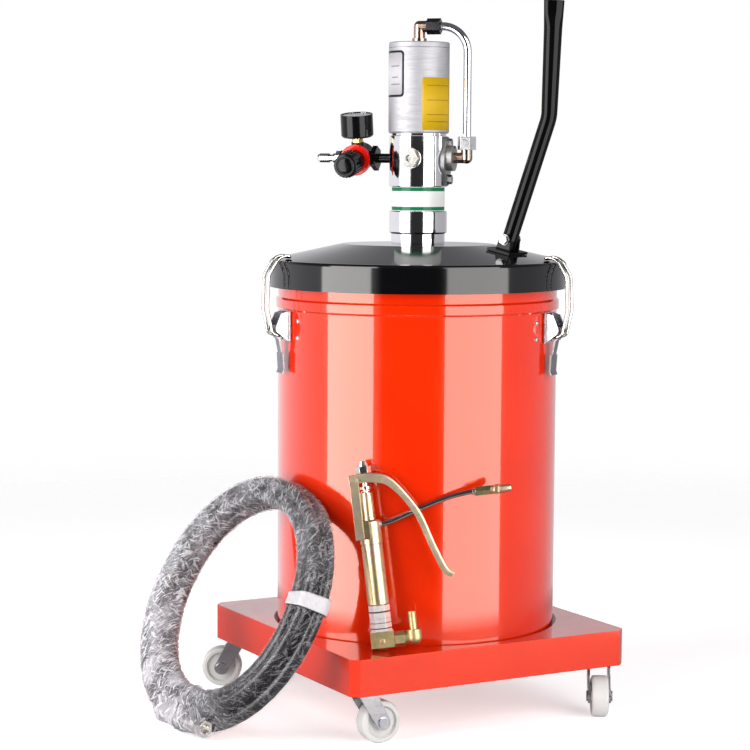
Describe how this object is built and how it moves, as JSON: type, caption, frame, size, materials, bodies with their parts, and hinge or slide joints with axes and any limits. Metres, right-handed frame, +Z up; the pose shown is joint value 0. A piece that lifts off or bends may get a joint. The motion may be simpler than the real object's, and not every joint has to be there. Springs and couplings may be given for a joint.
{
  "type": "mobile grease pump",
  "caption": "Air-driven drum grease pump on a caster cart, with a latched lid, push handle, control gun and coiled delivery hose.",
  "frame": {"origin": "on the floor under the axis of the drum and pump", "axes": "+Z up along the pump axis, -Y towards the front edge of the cart, +X to its right"},
  "size_m": [0.5439, 0.4157, 0.8616],
  "materials": {
    "red_enamel": "glossy vermilion enamel",
    "black_enamel": "glossy black enamel",
    "zinc_steel": "bright zinc plate",
    "nickel_steel": "bright nickel plate",
    "dark_steel": "dull zinc plate",
    "chrome_plate": "polished chrome",
    "white_band": "white band with two green stripes",
    "satin_aluminium": "satin turned aluminium",
    "cast_aluminium": "cast, slightly rough",
    "warm_nickel": "warm-toned nickel plate",
    "black_rubber": "smooth black rubber",
    "white_nylon": "off-white nylon",
    "black_plastic": "moulded, satin",
    "red_plastic": "glossy red",
    "clear_lens": "clear",
    "brass_stem": "machined brass",
    "yellow_zinc": "yellow chromate with a slight iridescence"
  },
  "bodies": {
    "pump_frame": {"cart_base": "red_enamel", "caster_stems": "zinc_steel", "drum": "red_enamel", "lid_gasket": "black_rubber", "lid": "black_enamel", "latch_brackets": "zinc_steel", "latch_pins": "nickel_steel", "handle_tube": "black_enamel", "handle_bracket": "black_enamel", "hex_screws": "nickel_steel", "pump_collar": "chrome_plate", "pump_neck": "white_band", "suction_tube": "nickel_steel", "foot_valve": "nickel_steel", "valve_block": "chrome_plate", "valve_cover": "cast_aluminium", "front_plug": "nickel_steel", "air_cylinder": "satin_aluminium", "air_elbows": "warm_nickel", "air_tube": "chrome_plate", "tube_nuts": "chrome_plate", "inlet_pipe": "black_plastic", "regulator_body": "black_plastic", "regulator_ring": "red_plastic", "gauge_case": "black_plastic", "gauge_lens": "clear_lens", "gauge_stem": "brass_stem", "air_nipple": "chrome_plate", "hose_coil": "black_rubber", "hose_fittings": "nickel_steel"},
    "caster_1": {"caster_fork_1": "zinc_steel"},
    "wheel_1": {"caster_wheel_1": "white_nylon"},
    "caster_2": {"caster_fork_2": "zinc_steel"},
    "wheel_2": {"caster_wheel_2": "white_nylon"},
    "caster_3": {"caster_fork_3": "zinc_steel"},
    "wheel_3": {"caster_wheel_3": "white_nylon"},
    "caster_4": {"caster_fork_4": "zinc_steel"},
    "wheel_4": {"caster_wheel_4": "white_nylon"},
    "lever_1": {"latch_lever_1": "dark_steel"},
    "bail_1": {"latch_bail_1": "nickel_steel"},
    "lever_2": {"latch_lever_2": "dark_steel"},
    "bail_2": {"latch_bail_2": "nickel_steel"},
    "lever_3": {"latch_lever_3": "dark_steel"},
    "bail_3": {"latch_bail_3": "nickel_steel"},
    "follower": {"follower_plate": "nickel_steel", "follower_seal": "black_rubber"},
    "piston": {"plunger": "nickel_steel", "air_piston": "satin_aluminium"},
    "spool": {"valve_spool": "nickel_steel"},
    "knob": {"regulator_knob": "black_plastic"},
    "needle": {"gauge_needle": "red_plastic"},
    "gun": {"gun_body": "yellow_zinc", "gun_nut": "nickel_steel", "gun_yoke": "yellow_zinc", "gun_nozzle": "nickel_steel", "gun_spring": "nickel_steel"},
    "gun_base_swivel": {"gun_swivel": "nickel_steel"},
    "trigger": {"gun_trigger": "yellow_zinc", "gun_adjuster": "nickel_steel"},
    "gun_valve": {"gun_valve_rod": "nickel_steel"}
  },
  "joints": [
    {"name": "caster_swivel_1", "type": "hinge", "parent": "pump_frame", "child": "caster_1", "pos_m": [-0.165, -0.165, 0.06], "axis": [0, 0, 1], "continuous": true},
    {"name": "wheel_spin_1", "type": "hinge", "parent": "caster_1", "child": "wheel_1", "pos_m": [-0.143, -0.165, 0.025], "axis": [0, 1, 0], "continuous": true},
    {"name": "caster_swivel_2", "type": "hinge", "parent": "pump_frame", "child": "caster_2", "pos_m": [0.165, -0.165, 0.06], "axis": [0, 0, 1], "continuous": true},
    {"name": "wheel_spin_2", "type": "hinge", "parent": "caster_2", "child": "wheel_2", "pos_m": [0.154, -0.18405, 0.025], "axis": [0.866, -0.5, 0], "continuous": true},
    {"name": "caster_swivel_3", "type": "hinge", "parent": "pump_frame", "child": "caster_3", "pos_m": [0.165, 0.165, 0.06], "axis": [0, 0, 1], "continuous": true},
    {"name": "wheel_spin_3", "type": "hinge", "parent": "caster_3", "child": "wheel_3", "pos_m": [0.17914, 0.18185, 0.025], "axis": [-0.766, 0.6428, 0], "continuous": true},
    {"name": "caster_swivel_4", "type": "hinge", "parent": "pump_frame", "child": "caster_4", "pos_m": [-0.165, 0.165, 0.06], "axis": [0, 0, 1], "continuous": true},
    {"name": "wheel_spin_4", "type": "hinge", "parent": "caster_4", "child": "wheel_4", "pos_m": [-0.18405, 0.176, 0.025], "axis": [-0.5, -0.866, 0], "continuous": true},
    {"name": "latch_lever_1_hinge", "type": "hinge", "parent": "pump_frame", "child": "lever_1", "pos_m": [-0.18558, 0.01951, 0.47], "axis": [0.1045, 0.9945, 0], "range_deg": [0, 110]},
    {"name": "latch_bail_1_hinge", "type": "hinge", "parent": "lever_1", "child": "bail_1", "pos_m": [-0.18319, 0.01925, 0.4614], "axis": [0.1045, 0.9945, 0], "range_deg": [-140, 0]},
    {"name": "latch_lever_2_hinge", "type": "hinge", "parent": "pump_frame", "child": "lever_2", "pos_m": [0.10968, -0.15096, 0.47], "axis": [-0.809, -0.5878, 0], "range_deg": [0, 110]},
    {"name": "latch_bail_2_hinge", "type": "hinge", "parent": "lever_2", "child": "bail_2", "pos_m": [0.10827, -0.14902, 0.4614], "axis": [-0.809, -0.5878, 0], "range_deg": [-140, 0]},
    {"name": "latch_lever_3_hinge", "type": "hinge", "parent": "pump_frame", "child": "lever_3", "pos_m": [0.0933, 0.1616, 0.47], "axis": [0.866, -0.5, 0], "range_deg": [0, 110]},
    {"name": "latch_bail_3_hinge", "type": "hinge", "parent": "lever_3", "child": "bail_3", "pos_m": [0.0921, 0.15952, 0.4614], "axis": [0.866, -0.5, 0], "range_deg": [-140, 0]},
    {"name": "follower_slide", "type": "slide", "parent": "pump_frame", "child": "follower", "axis": [0, 0, 1], "range_m": [0, 0.37]},
    {"name": "piston_stroke", "type": "slide", "parent": "pump_frame", "child": "piston", "axis": [0, 0, 1], "range_m": [0, 0.07]},
    {"name": "spool_shift", "type": "slide", "parent": "pump_frame", "child": "spool", "axis": [0, 0, 1], "range_m": [0, 0.006]},
    {"name": "regulator_knob_turn", "type": "hinge", "parent": "pump_frame", "child": "knob", "pos_m": [-0.0823, 0.02659, 0.66815], "axis": [-0.6964, -0.6964, -0.1736], "range_deg": [-540, 540]},
    {"name": "gauge_needle_turn", "type": "hinge", "parent": "pump_frame", "child": "needle", "pos_m": [-0.06044, 0.04845, 0.72316], "axis": [-0.1228, -0.1228, 0.9848], "range_deg": [-270, 0]},
    {"name": "gun_lift", "type": "slide", "parent": "pump_frame", "child": "gun", "axis": [0, 0, 1], "range_m": [0, 0.15]},
    {"name": "gun_swivel_turn", "type": "hinge", "parent": "gun", "child": "gun_base_swivel", "pos_m": [-0.13145, -0.15419, 0.1158], "axis": [-0.0408, 0.1731, 0.9841], "range_deg": [-140, 25]},
    {"name": "trigger_squeeze", "type": "hinge", "parent": "gun", "child": "trigger", "pos_m": [-0.14995, -0.11565, 0.29909], "axis": [0.4957, 0.8586, -0.1305], "range_deg": [0, 18], "stiffness_Nm_per_rad": 0.5, "springref_deg": -17.19},
    {"name": "gun_valve_stroke", "type": "slide", "parent": "gun", "child": "gun_valve", "axis": [0.0408, -0.1731, -0.9841], "range_m": [0, 0.0046], "deforming": ["gun_spring"]}
  ],
  "couplings": [
    {"joint": "latch_bail_1_hinge", "follows": "latch_lever_1_hinge", "ratio": -1.25},
    {"joint": "latch_bail_2_hinge", "follows": "latch_lever_2_hinge", "ratio": -1.25},
    {"joint": "latch_bail_3_hinge", "follows": "latch_lever_3_hinge", "ratio": -1.25},
    {"joint": "gun_valve_stroke", "follows": "trigger_squeeze", "m_per_rad": 0.0139}
  ]
}
